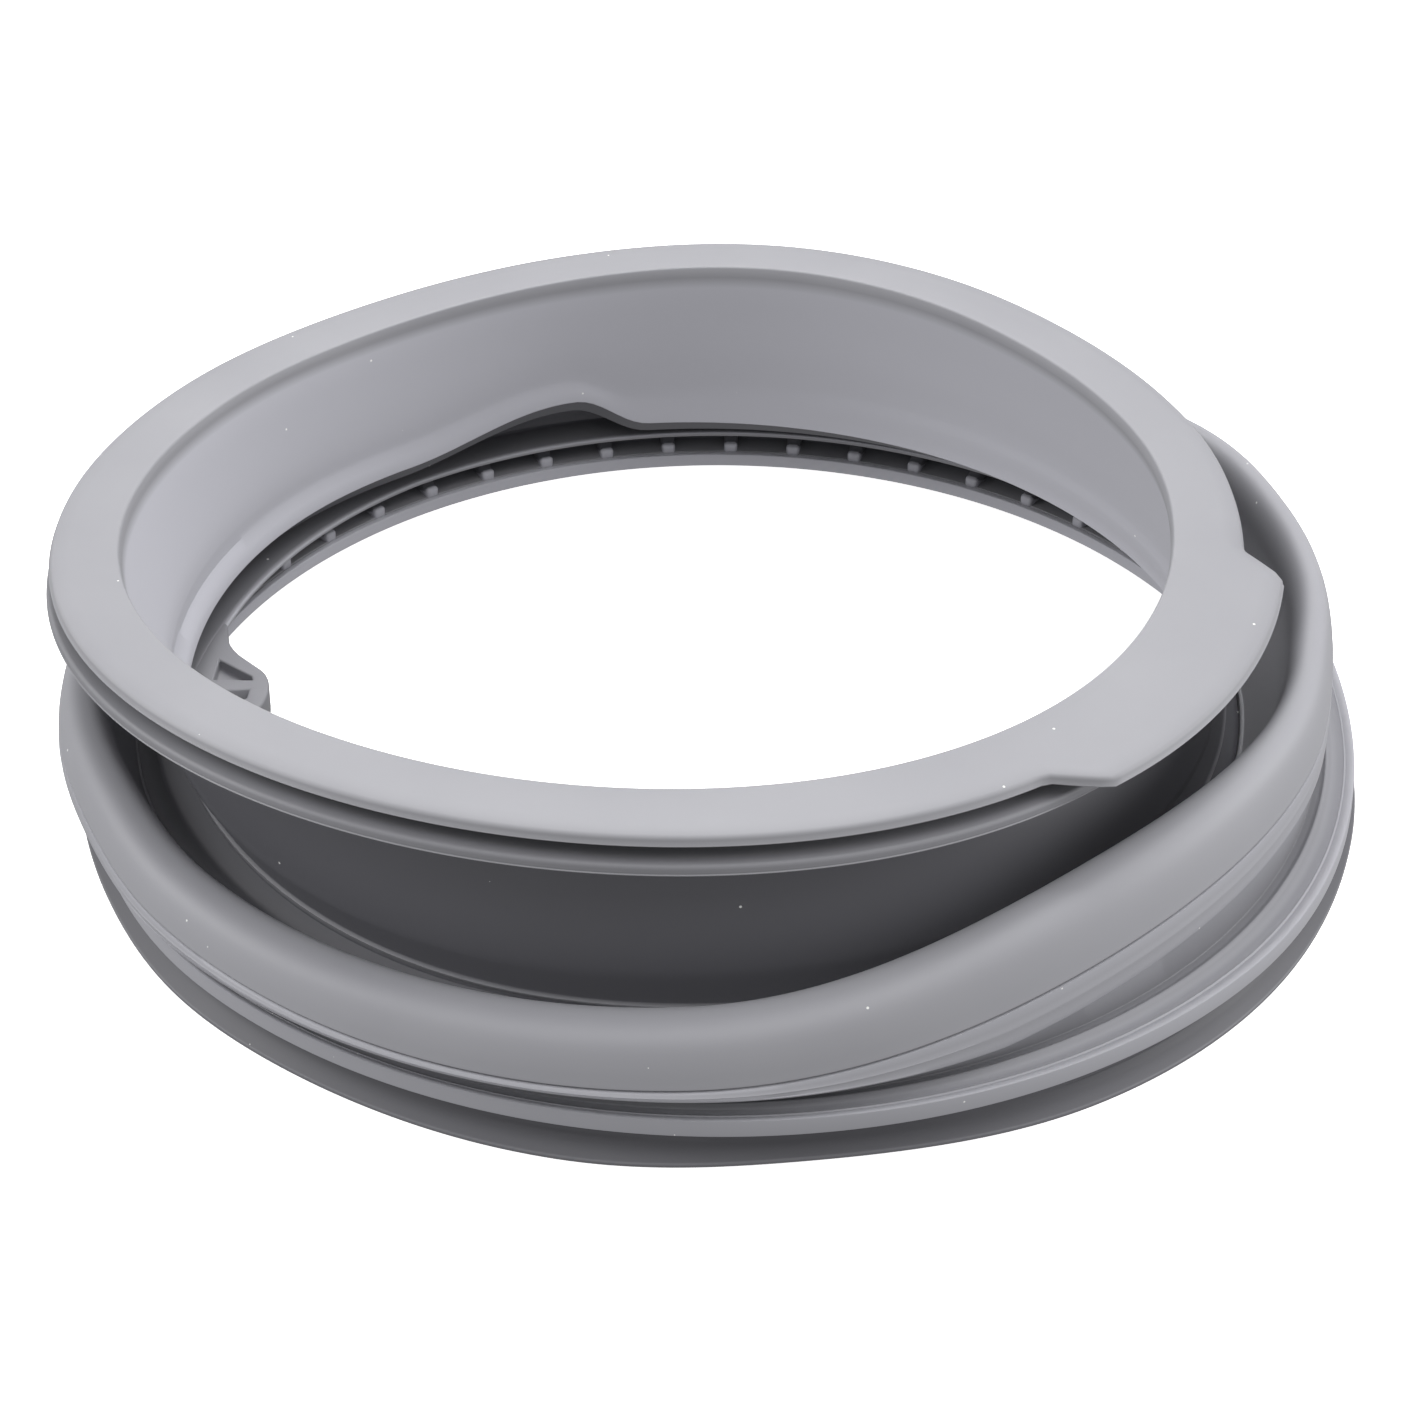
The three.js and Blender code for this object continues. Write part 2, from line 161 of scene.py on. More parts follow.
class LugSizes(PropertyGroup):
    place: angle("Place", "Where the lug stands inside the tub end", 176.5)
    reach: length("Reach", "How far the lug reaches in from the bore", 27.9)
    tip_width: length("Tip width", "Width of the lug's blunt tip", 15.0)
    corner: length("Corner", "Length of the rounded corners behind the tip", 3.6)
    flank: length("Flank", "Length of the straight flanks and the corners", 9.7)
    waist: length("Waist", "Half of the lug's width where it meets the ring", 36.0)
    fillet: length("Fillet", "How far the channel's upper lip runs out towards the lug", 5.9)
    fillet_start: angle("Fillet start", "Where the lip starts to run out, from the lug", 50.0)
    fillet_end: angle("Fillet end", "Where the lip meets the lug, from its middle", 13.0)
    bottom: length("Bottom", "Height of the lug's underside", 4.3)
    pocket: length("Pocket", "Depth of the pockets that keep the lug thin", 5.5)
    web_offset: length("Web offset", "How far the web between the pockets lies off the middle", -1.6)


class DentSettings(PropertyGroup):
    place: angle("Place", "Where the dent is around the ring", 0.0)
    spread: angle("Spread", "How far it runs to either side", 40.0)
    band: length("Band", "How far the band is pushed out there", 0.0)
    base: length("Base", "How far the bottom edge is pushed out there", 0.0)
    door: length("Door", "How far the door end is lifted there", 0.0)
    roll: length("Roll", "How far the roll is pushed out there", 0.0)


class SagSettings(PropertyGroup):
    door_slide: slide("How far the door end has slid", -20.4, -1.5)
    door_lift: lift("How the door end has sunk and twisted", 1.1, -5.9, -2.5, 3.9)
    fold_slide: slide("How far the fold has slid", -8.7, -2.6)
    roll_slide: slide("How far the roll has slid", -7.3, -5.9)
    roll_lift: lift("How the roll is drawn up and pressed down", 9.0, 3.1, 4.8, 1.3)
    roll_swell: lift("How the roll's width changes around the ring", -0.6, -1.8, -1.3, -0.1)
    roll_stretch: lift("How the roll's height changes around the ring", 2.4, -2.1, 0.1, -0.8)
    bulge_place: angle("Bulge", "Where the roll bulges most", -52.0)
    bulge_spread: angle("Bulge spread", "How far the bulge runs to either side", 39.0)
    bulge_width: length("Bulge width", "How much wider each half of the roll is there", 1.7)
    bulge_height: length("Bulge height", "How much higher the roll is there", 1.8)
    bulge_lift: length("Bulge lift", "How far the roll is lifted there", 3.3)
    bulge_inset: length("Bulge inset", "How far the roll is drawn in there", 3.7)
    fold_dent_place: angle("Fold dent", "Where the fold is pushed in most", -165.0)
    fold_dent_spread: angle("Fold dent spread", "How far that dent runs to either side", 60.0)
    fold_dent: length("Fold dent depth", "How far the fold is pushed in there", 6.3)
    bore_dent_place: angle("Bore dent", "Where the door opening is pulled in most", -50.0)
    bore_dent_spread: angle("Bore dent spread", "How far that runs to either side", 60.0)
    bore_dent: length("Bore dent depth", "How far the opening is pulled in there", 1.9)
    dents: CollectionProperty(type=DentSettings, name="Dents", description="Dents around the ring")
    middle: FloatVectorProperty(name="Middle", description="Middle of the settled seal's footprint", size=2,
                                unit="LENGTH")


class RubberColours(PropertyGroup):
    body: colour("Rubber", "Grey of the moulded rubber", "8F8F93")
    shade: colour("Dark mottle", "Grey of the darker patches", "828287")
    # Painted light: a paler grey laid where light falls, on the inner wall, the roll, the band and the strip
    # below the parting line.
    bloom: colour("Lit grey", "Pale film of talc on the inner wall and below the parting line", "ADADB4")
    # Painted shade: a darker grey laid where shade falls, in the recesses, on the neck under the flange,
    # under the band and under the fold.
    bare: colour("Shaded grey", "Grey of the recesses, which the talc doesn't reach", "5B5B60")
    speck: colour("Specks", "Colour of the talc grains", "E2E2E0")


class StudioSettings(PropertyGroup):
    floor: colour("Floor", "Colour of the floor", "F2F2F2")
    floor_reach: length("Floor reach", "How far the floor reaches to each side", 4000)
    softbox_size: length("Softbox size", "Side of each square soft light", 900)
    softbox_aim: length("Softbox aim", "Height that the soft lights are turned to", 50)
    daylight: FloatProperty(name="Daylight", description="Strength of the even light", default=0.52)
    distance: FloatProperty(name="Camera distance", description="Distance from the camera to its target",
                            default=1.0639, unit="LENGTH")
    elevation: angle("Camera elevation", "How far the camera looks down", 34.34)
    lens: FloatProperty(name="Lens", description="Focal length on a sensor 36 mm wide", default=91.54)
    target: FloatVectorProperty(name="Target", description="Point that the camera looks at",
                                subtype="TRANSLATION", default=(-0.00508, 0.02221, 0.0))


def wave(amplitudes, turn):
    """The value of a lift at an angle around the ring."""
    right, back, bow, twist = amplitudes
    once = right * math.cos(turn) + back * math.sin(turn)
    return once + bow * math.cos(2 * turn) + twist * math.sin(2 * turn)


def bump(turn, middle, before, after):
    """1 at a middle angle, falling smoothly to 0 at a distance before and after it."""
    off = math.atan2(math.sin(turn - middle), math.cos(turn - middle))
    share = min(abs(off) / (before if off < 0 else after), 1)
    return 0.5 + 0.5 * math.cos(math.pi * share)


def even_bump(turn, middle, spread):
    """A bump that falls off alike on both sides."""
    return bump(turn, middle, spread, spread)


def ramp(value, low, high):
    """0 below a low value, 1 above a high one, and straight between them."""
    return min(max((value - low) / (high - low), 0), 1)


def curved(start, control, end, count):
    """Points along a curve that leaves its start and reaches its end towards a control point."""
    points = []
    for i in range(count):
        t = i / (count - 1)
        a, b, c = (1 - t) ** 2, 2 * t * (1 - t), t * t
        points.append(tuple(a * start[k] + b * control[k] + c * end[k] for k in (0, 1)))
    return points


# The section is turned in steps of one degree, and its walls are divided to this length.
RING_STEPS = 360
LONGEST_WALL = 8 * MM

# What a corner of the section follows when the soft parts settle, and how much painted light or painted shade
# its colour carries.
FOLLOWS = ("door", "fold", "slide", "lift", "roll", "skirt", "give", "band", "base", "tab", "relief", "dent",
           "bore", "lip", "bloom", "bare")


class Section:
    """The outline of the moulding in the XZ plane, drawn corner by corner."""

    def __init__(self):
        self.bm = bmesh.new()
        self.layers = {name: self.bm.verts.layers.float.new(name) for name in FOLLOWS}
        self.corners = []
        self.roundings = {}

    def corner(self, r, z, rounding=0.0, **follows):
        vert = self.bm.verts.new((r, 0, z))
        for name, share in follows.items():
            vert[self.layers[name]] = share
        if self.corners:
            self.bm.edges.new((self.corners[-1], vert))
        self.corners.append(vert)
        if rounding:
            self.roundings.setdefault(rounding, []).append(vert)

    def close(self):
        self.bm.edges.new((self.corners[-1], self.corners[0]))
        for rounding, verts in self.roundings.items():
            bmesh.ops.bevel(self.bm, geom=verts, offset=rounding, segments=3, profile=0.5,
                            affect="VERTICES", material=-1, clamp_overlap=False)

    def divide(self, longest):
        """Splits the long straight walls, so that they bend evenly."""
        for edge in list(self.bm.edges):
            cuts = int(edge.calc_length() / longest)
            if cuts:
                bmesh.ops.subdivide_edges(self.bm, edges=[edge], cuts=cuts)

    def spin(self, steps):
        geometry = self.bm.verts[:] + self.bm.edges[:]
        bmesh.ops.spin(self.bm, geom=geometry, cent=(0, 0, 0), axis=(0, 0, 1), angle=math.tau,
                       steps=steps, use_merge=True, use_duplicate=False)


def roll_points(sizes, depth, first, last, count):
    """Points of the roll's rounded outline over its parting line, with a flare towards that line."""
    flare = 0 if depth else sizes.roll_flare
    half = sizes.roll_half_width - depth - flare / 2
    centre = sizes.roll_radius - sizes.roll_half_width - flare / 2
    fullness = 0.8
    flare_end = math.radians(40)
    points = []
    for i in range(count):
        psi = math.radians(first + (last - first) * i / (count - 1))
        across = math.copysign(abs(math.cos(psi)) ** fullness, math.cos(psi))
        up = max(math.sin(psi), 0) ** fullness
        near = max(1 - psi / flare_end, 0)
        r = centre + half * across + flare * near * near
        points.append((r, sizes.roll_middle + (sizes.roll_half_height - depth) * up))
    return points


def draw_door_end(section, door):
    """The flange with its face and tab edge, the groove for the cabinet and the lip under it."""
    bore = door.bore_radius - door.edge_overhang
    flange = door.bore_radius + door.face + door.bevel
    under = door.height - door.thickness
    groove = flange - door.groove_depth
    ledge = under - door.groove_width
    lip = flange + door.lip_proud
    foot = ledge - door.lip
    flash = door.flash
    draw = section.corner
    draw(bore, door.height - door.edge_depth, 0.9 * MM, door=1, bore=1)
    draw(door.bore_radius, door.height, 0.5 * MM, door=1, bore=1)
    draw(door.bore_radius + door.face, door.height, 1.6 * MM, door=1, tab=1)
    draw(flange - 0.5 * MM, door.height - door.bevel_drop, 0.9 * MM, door=1, tab=1)
    draw(flange, under + 0.5 * MM, door=1, tab=1)
    draw(flange + flash, under + 0.3 * MM, door=1, tab=1)
    draw(flange + flash - 0.1 * MM, under + 0.05 * MM, door=1, tab=1)
    draw(flange - 0.5 * MM, under, door=1, tab=1)
    draw(groove, under, 0.8 * MM, door=1)
    draw(groove, ledge, 0.8 * MM, door=1)
    # The lip and the neck below it carry painted shade, where the flange shades them.
    draw(lip, ledge, 1.1 * MM, door=1, bare=0.35)
    draw(lip, foot + 0.5 * MM, door=1, bare=0.35)
    draw(lip + flash, foot + 0.3 * MM, door=1)
    draw(lip + flash - 0.1 * MM, foot + 0.05 * MM, door=1)
    draw(lip - 0.6 * MM, foot, door=1)
    draw(door.neck_radius + 2 * MM, foot, 1.0 * MM, door=1, bare=0.6)
    draw(door.neck_radius, foot - 2.5 * MM, 1.0 * MM, door=1, bare=1)


def draw_bellows_outside(section, door, bellows):
    """The neck down to the raised line, the trough and the upper half of the roll."""
    draw = section.corner
    crease = bellows.fold_radius + bellows.wall + bellows.crease_proud
    crease_z = bellows.crease_height
    trough = bellows.trough_radius
    middle_r = (door.neck_radius + crease) / 2 - 0.6 * MM
    middle_z = (bellows.fold_height + door.height) / 2
    # Painted shade on the neck, the raised line and the trough, and a little painted light on the roll.
    draw(middle_r, middle_z, door=0.5, fold=0.5, dent=0.5, relief=0.35, bare=1)
    draw(bellows.fold_radius + 3.2 * MM, bellows.fold_height + 12 * MM, 2.0 * MM,
         door=0.22, fold=0.78, relief=0.82, dent=0.85, bare=1)
    draw(crease - 0.9 * MM, crease_z + 1.0 * MM, 0.3 * MM, fold=1, relief=1, dent=1, bare=0.9)
    draw(crease, crease_z + 0.4 * MM, fold=1, relief=1, dent=1, bare=0.2)
    draw(crease, crease_z - 0.1 * MM, fold=1, relief=1, dent=1)
    draw(crease - 0.5 * MM, crease_z - 0.6 * MM, fold=1, relief=1, dent=1)
    draw(crease - 0.4 * MM, crease_z - 1.8 * MM, fold=1, relief=1, dent=1, bare=1)
    draw(trough - 1.7 * MM, (bellows.fold_height + bellows.trough_height) / 2 + 1.8 * MM,
         1.2 * MM, fold=1, relief=1, dent=0.6, give=0.4, bare=1)
    draw(trough, bellows.trough_height, 2.0 * MM, fold=1, lift=0.2, give=0.8, relief=1)
    for r, z in roll_points(bellows, 0, 180, 1.5, 22):
        draw(r, z, roll=1, bloom=0.2)


def draw_skirt(section, bellows):
    """The parting line as a fine groove, and the skirt that hangs below it with a faint line half way."""
    draw = section.corner
    r = bellows.roll_radius
    z = bellows.roll_middle
    nominal = bellows.skirt_share * bellows.roll_half_height
    draw(r, z + 0.35 * MM, roll=1)
    draw(r - 0.55 * MM, z + 0.1 * MM, roll=1)
    # Painted light on the parting line's lower side and on the skirt.
    draw(r - 0.45 * MM, z - 0.25 * MM, roll=1, bloom=0.3)
    draw(r + 0.1 * MM, z - 0.45 * MM, roll=1, bloom=0.6)
    for share, proud in ((0.3, 0.1), (0.46, 0.1), (0.5, 0.2), (0.54, 0.1), (0.75, 0.0)):
        draw(r + proud * MM, z - share * nominal, roll=1, skirt=share, bloom=0.35)
    draw(r - 0.3 * MM, z - nominal, 1.0 * MM, roll=1, skirt=1, bloom=0.55)
    draw(r - 2.2 * MM, z - nominal - 0.8 * MM, 0.8 * MM, roll=0.95, slide=0.03, skirt=1, bloom=0.5)


def draw_band_top(section, tub, bellows):
    """From the valley over the raised line to the rim of the clamping band."""
    valley = bellows.roll_radius - bellows.valley_inset
    top = tub.band_bottom + tub.band_height
    edge = tub.bore_radius + tub.face_width + tub.band_proud - 0.4 * MM
    profile = ((0.0, 0.2, 0.6), (0.2, 0.3, 0.5), (0.27, 1.0, 0.4), (0.34, 0.3, 0.5), (0.52, -0.7, 0.8),
               (0.72, -0.4, 0.0), (0.76, -0.1, 0.0), (0.8, -0.4, 0.0), (0.9, 0.0, 0.4), (1.0, 0.0, 0.0))
    # Painted shade near the valley, fading into painted light towards the band's rim.
    for share, up, rounding in profile:
        section.corner(valley + share * (edge - valley), top + up * MM, rounding * MM,
                       slide=0.6 * (1 - share), band=share, bloom=0.5 * share, bare=0.4 * (1 - share))


def draw_tub_end(section, tub):
    """The band, the clamp's groove, the bottom edge, the channel for the tub's rim and the ledge over it."""
    draw = section.corner
    face = tub.bore_radius + tub.face_width
    band = face + tub.band_proud
    band_top = tub.band_bottom + tub.band_height
    floor = face - tub.groove_depth
    channel_floor = tub.bore_radius + tub.channel_depth
    channel_top = tub.lip + tub.channel_width
    ledge = channel_top + tub.top_lip
    toe = tub.toe
    # Painted light on the band's face, the bore and the edge of the ledge; painted shade in the clamp's
    # groove, on the bottom edge, in the channel and on the ledge.
    draw(band - 0.1 * MM, band_top - 0.15 * MM, band=1, bloom=0.5)
    draw(band, band_top - 0.5 * MM, band=1, bloom=0.5)
    draw(band + 0.1 * MM, tub.band_bottom + 0.2 * MM, 0.15 * MM, band=1, bloom=0.5)
    draw(band - 0.4 * MM, tub.band_bottom - 0.1 * MM, band=1)
    draw(floor + 0.5 * MM, tub.band_bottom - 0.8 * MM, 0.8 * MM, band=0.5, base=0.5, bare=1)
    draw(floor, 0.6 * tub.band_bottom, 1.2 * MM, band=0.4, base=0.6, bare=1)
    draw(floor + 1 * MM, 0.4 * tub.band_bottom, 1.2 * MM, band=0.2, base=0.8, bare=1)
    draw(face - 0.3 * MM, 2.0 * MM, 0.4 * MM, base=1, bare=1)
    draw(face + toe, 1.4 * MM, 0.2 * MM, base=1, bare=0.6)
    draw(face + 0.8 * toe, 0.4 * MM, base=1, bare=1)
    draw(face - 0.2 * MM, 0, base=1)
    draw(tub.bore_radius + 0.4 * MM, 0)
    draw(tub.bore_radius, 0.4 * MM, bloom=1)
    draw(tub.bore_radius, tub.lip, 0.35 * MM, bloom=1)
    draw(tub.bore_radius + 1.6 * MM, tub.lip + 0.05 * MM, bloom=1)
    draw(tub.bore_radius + 2.0 * MM, tub.lip - 0.3 * MM)
    draw(tub.bore_radius + 2.4 * MM, tub.lip + 0.1 * MM)
    draw(channel_floor, tub.lip + 0.6 * MM, 0.8 * MM, bare=1)
    draw(channel_floor, channel_top - 4.2 * MM)
    draw(channel_floor - 0.9 * MM, channel_top - 3.4 * MM, 0.3 * MM)
    draw(channel_floor - 0.9 * MM, channel_top - 2.4 * MM, 0.3 * MM)
    draw(channel_floor, channel_top - 1.6 * MM)
    draw(channel_floor, channel_top, 0.8 * MM, bare=1)
    draw(tub.bore_radius + 0.6 * MM, channel_top, lip=1)
    draw(tub.bore_radius, channel_top + 0.5 * MM, 0.3 * MM, lip=1)
    draw(tub.bore_radius + 0.1 * MM, ledge, 0.35 * MM, lip=1, bloom=0.7)
    draw(tub.bore_radius + 1.6 * MM, ledge + 0.15 * MM, lip=0.9, bare=0.5)
    draw(tub.bore_radius + tub.ledge_width, ledge + tub.ledge_rise, 1.2 * MM, bare=1)


def draw_bellows_inside(section, tub, door, bellows):
    """Back inside the roll and the fold to the inner wall and the edge of the door opening."""
    draw = section.corner
    wall = bellows.wall
    fold = bellows.fold_radius
    valley = bellows.roll_radius - bellows.valley_inset
    band_top = tub.band_bottom + tub.band_height
    bore = door.bore_radius - door.edge_overhang
    nominal = bellows.skirt_share * bellows.roll_half_height
    # Painted shade inside the roll and under the fold, and painted light on the inner wall.
    draw(valley - 1.4 * wall, band_top + 0.2 * MM - 0.3 * wall, 1.0 * MM, slide=0.6, bare=1)
    draw(bellows.roll_radius - wall, bellows.roll_middle - nominal + wall, 0.8 * MM, roll=1, skirt=1)
    for r, z in roll_points(bellows, wall, 12, 180, 14):
        draw(r, z, roll=1, bare=1)
    draw(bellows.trough_radius + 0.8 * wall, bellows.trough_height - 0.6 * wall, 1.2 * MM, fold=1, lift=0.2,
         give=0.8, relief=1, bare=1)
    draw(bellows.trough_radius - 0.4 * wall, bellows.trough_height - 1.2 * wall, 1.0 * MM, fold=1, lift=0.2,
         give=0.8, relief=1, bare=1)
    draw(fold + 3.9 * MM, bellows.fold_height + 1.2 * MM, 0.6 * MM, fold=1, relief=1, dent=1, bare=1)
    draw(fold + 1.8 * MM, bellows.fold_height + 1.4 * MM, fold=1, relief=1, dent=1, bare=1)
    draw(fold + 1.5 * MM, bellows.fold_height - 0.4 * MM, fold=1, relief=1, dent=1, bare=1)
    draw(fold + 0.4 * MM, bellows.fold_height - 0.2 * MM, fold=1, relief=1, dent=1, bloom=1)
    draw(fold, bellows.fold_height + 0.2 * MM, fold=1, relief=1, dent=1, bloom=1)
    draw(fold + 0.05 * MM, bellows.fold_height + 1.0 * MM, fold=1, relief=1, dent=1, bloom=1)
    draw(fold + 0.2 * MM, bellows.fold_height + 5 * MM, door=0.05, fold=0.95, relief=0.96, dent=0.97, bloom=1)
    draw(fold + 0.4 * MM, bellows.fold_height + 12 * MM, 3.0 * MM,
         door=0.22, fold=0.78, relief=0.82, dent=0.85, bloom=1)
    draw((fold + bore) / 2 + 0.2 * MM, (bellows.fold_height + door.height) / 2,
         door=0.5, fold=0.5, dent=0.5, relief=0.35, bloom=1)
    draw(bore + 0.05 * MM, door.height - 7 * MM, door=0.92, fold=0.08, bore=0.9, bloom=0.9)


class Settling:
    """Where a point of the turned ring ends up once the rubber has settled."""

    def __init__(self, settings):
        self.tub = settings.tub_end
        self.bellows = settings.bellows
        self.tab = settings.tab
        self.relief = settings.relief
        self.lug = settings.lug
        self.sag = settings.sag
        door = settings.door_end
        self.tab_reach = self.tab.radius - (door.bore_radius + door.face + door.bevel)
        self.nominal_skirt = self.bellows.skirt_share * self.bellows.roll_half_height
        self.around = {}

    def at(self, turn):
        """Everything that depends only on the angle, worked out once for each."""
        key = round(turn, 6)
        if key not in self.around:
            self.around[key] = self.measure(turn)
        return self.around[key]

    def measure(self, turn):
        tub, bellows, sag = self.tub, self.bellows, self.sag
        tab, relief, lug = self.tab, self.relief, self.lug
        bulge = even_bump(turn, sag.bulge_place, sag.bulge_spread)
        lifted = wave(sag.roll_lift, turn) + bulge * sag.bulge_lift
        half_width = bellows.roll_half_width + wave(sag.roll_swell, turn) + bulge * sag.bulge_width
        half_height = bellows.roll_half_height + wave(sag.roll_stretch, turn) + bulge * sag.bulge_height
        room = bellows.roll_middle + lifted - tub.band_bottom - tub.band_height - bellows.skirt_clearance
        felt = [(dent, even_bump(turn, dent.place, dent.spread)) for dent in sag.dents]
        reach = min(turn - tab.start, tab.end - turn) / tab.corner
        from_lug = abs(math.atan2(math.sin(turn - lug.place), math.cos(turn - lug.place)))
        filleted = ramp(lug.fillet_start - from_lug, 0, lug.fillet_start - lug.fillet_end)
        return {
            "door": wave(sag.door_lift, turn) + sum(dent.door * share for dent, share in felt),
            "lift": wave(sag.roll_lift, turn),
            "roll": lifted,
            "width": half_width / bellows.roll_half_width,
            "height": half_height / bellows.roll_half_height,
            "skirt": self.nominal_skirt - min(bellows.skirt_share * half_height, room),
            "flare": bellows.skirt_flare * max(-math.sin(turn), 0),
            "give": bulge * sag.bulge_inset,
            "band": sum(dent.band * share for dent, share in felt),
            "base": sum(dent.base * share for dent, share in felt),
            "pushed": sum(dent.roll * share for dent, share in felt),
            "relief": relief.rise * bump(turn, relief.place, relief.steep, relief.gentle),
            "dent": sag.fold_dent * even_bump(turn, sag.fold_dent_place, sag.fold_dent_spread),
            "bore": sag.bore_dent * even_bump(turn, sag.bore_dent_place, sag.bore_dent_spread),
            "lip": lug.fillet * filleted ** 1.1,
            "tab": self.tab_reach * min(max(reach, 0), 1),
        }

    def move(self, vert, layers):
        share = {name: vert[layer] for name, layer in layers.items()}
        turn = math.atan2(vert.co.y, vert.co.x)
        here = self.at(turn)
        r = math.hypot(vert.co.x, vert.co.y)
        z = vert.co.z
        if share["roll"]:
            bellows = self.bellows
            r = bellows.roll_radius + (r - bellows.roll_radius) * here["width"]
            up = z - bellows.roll_middle
            z = bellows.roll_middle + up * (here["height"] if up > 0 else 1)
        r += share["tab"] * here["tab"] + share["band"] * here["band"] + share["base"] * here["base"]
        r += share["roll"] * here["pushed"] + share["skirt"] * here["flare"]
        r -= (share["roll"] + share["give"]) * here["give"]
        r -= share["dent"] * here["dent"] + share["bore"] * here["bore"] + share["lip"] * here["lip"]
        z += share["relief"] * here["relief"] + share["door"] * here["door"] + share["skirt"] * here["skirt"]
        z += share["roll"] * here["roll"] + share["lift"] * here["lift"]
        door, fold, roll = self.sag.door_slide, self.sag.fold_slide, self.sag.roll_slide
        slid = share["slide"] + share["roll"]
        x, y = (share["door"] * door[k] + share["fold"] * fold[k] + slid * roll[k] for k in (0, 1))
        vert.co = Vector((r * math.cos(turn) + x, r * math.sin(turn) + y, z))


def finish_piece(bm, name, material, sharp=40, bare=0.0):
    """Turns a bmesh, darkened by painted shade to some share, into a piece of the seal in the CAD model's
    frame.
    """
    if bare:
        layer = bm.verts.layers.float.new("bare")
        for vert in bm.verts:
            vert[layer] = bare
    bmesh.ops.remove_doubles(bm, verts=bm.verts, dist=1e-6)
    bmesh.ops.recalc_face_normals(bm, faces=bm.faces)
    bmesh.ops.translate(bm, vec=frame_shift(), verts=bm.verts)
    mesh = bpy.data.meshes.new(name)
    bm.to_mesh(mesh)
    bm.free()
    for polygon in mesh.polygons:
        polygon.use_smooth = True
    mesh.set_sharp_from_angle(angle=math.radians(sharp))
    mesh.materials.append(material)
    piece = bpy.data.objects.new(name, mesh)
    bpy.context.scene.collection.objects.link(piece)
    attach(piece, "root")
    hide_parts("door_seal")
    return piece


def frame_shift():
    """From the middle of the tub end to the origin, the middle of the seal's footprint."""
    middle = bpy.context.scene.door_seal.sag.middle
    return Vector((-middle[0], -middle[1], 0))


def add(tree, kind, settings=None, links=None):
    """Adds a shader node with its settings and with what feeds its inputs."""
    node = tree.nodes.new(kind)
    for name, value in (settings or {}).items():
        if name in node.inputs:
            node.inputs[name].default_value = value
        else:
            setattr(node, name, value)
    for socket, source in (links or {}).items():
        tree.links.new(source, node.inputs[socket])
    return node


def epdm_rubber():
    """EPDM rubber, compression moulded in a blasted steel tool: a soft, even, dull grey."""
    name = "epdm_rubber_moulded"
    if name in bpy.data.materials:
        return bpy.data.materials[name]
    colours = bpy.context.scene.door_seal.colours
    material = bpy.data.materials.new(name)
    material.use_nodes = True
    tree = material.node_tree
    tree.nodes.clear()
    place = add(tree, "ShaderNodeTexCoord").outputs["Object"]
    # Handling and cooling leave broad, faint patches.
    patch_size = 60 * MM
    patches = add(tree, "ShaderNodeTexNoise", {"Scale": 1 / patch_size, "Detail": 3.0}, {"Vector": place})
    body = add(tree, "ShaderNodeMix", {"data_type": "RGBA"}, {"Factor": patches.outputs["Fac"]})
    body.inputs["A"].default_value = (*colours.shade, 1)
    body.inputs["B"].default_value = (*colours.body, 1)
    # Painted light and painted shade: a paler grey where light falls on the open surfaces, and a darker grey
    # in the recesses where shade falls.
    film = body
    for share, tint in (("bloom", colours.bloom), ("bare", colours.bare)):
        where = add(tree, "ShaderNodeAttribute", {"attribute_name": share})
        film = add(tree, "ShaderNodeMix", {"data_type": "RGBA"},
                   {"Factor": where.outputs["Fac"], "A": film.outputs["Result"]})
        film.inputs["B"].default_value = (*tint, 1)
    # A few grains of talc stick to the surface, where a cell is chosen and its middle lies close.
    speck_spacing = 8 * MM
    speck_radius = 0.36 * MM
    speck_chance = 0.3
    cells = add(tree, "ShaderNodeTexVoronoi", {"Scale": 1 / speck_spacing}, {"Vector": place})
    chance = add(tree, "ShaderNodeSeparateColor", links={"Color": cells.outputs["Color"]})
    chosen = add(tree, "ShaderNodeMath", {"operation": "GREATER_THAN"}, {0: chance.outputs["Red"]})
    chosen.inputs[1].default_value = 1 - speck_chance
    near = add(tree, "ShaderNodeMath", {"operation": "LESS_THAN"}, {0: cells.outputs["Distance"]})
    near.inputs[1].default_value = speck_radius / speck_spacing
    grains = add(tree, "ShaderNodeMath", {"operation": "MULTIPLY"},
                 {0: chosen.outputs["Value"], 1: near.outputs["Value"]})
    film = add(tree, "ShaderNodeMix", {"data_type": "RGBA"},
               {"Factor": grains.outputs["Value"], "A": film.outputs["Result"]})
    film.inputs["B"].default_value = (*colours.speck, 1)
    # The blasted tool leaves a grain of about 0.4 mm, drawn twice as coarse so that it shows.
    grain_size = 0.8 * MM
    grain_depth = 0.05 * MM
    grain = add(tree, "ShaderNodeTexNoise", {"Scale": 1 / grain_size, "Detail": 2.0}, {"Vector": place})
    bumps = add(tree, "ShaderNodeBump", {"Strength": 0.12, "Distance": grain_depth},
                {"Height": grain.outputs["Fac"]})
    rough = add(tree, "ShaderNodeMapRange", {"To Min": 0.5, "To Max": 0.62},
                {"Value": patches.outputs["Fac"]})
    shader = add(tree, "ShaderNodeBsdfPrincipled", {"IOR": 1.5, "Metallic": 0.0},
                 {"Base Color": film.outputs["Result"], "Roughness": rough.outputs["Result"],
                  "Normal": bumps.outputs["Normal"]})
    add(tree, "ShaderNodeOutputMaterial", links={"Surface": shader.outputs["BSDF"]})
    return material


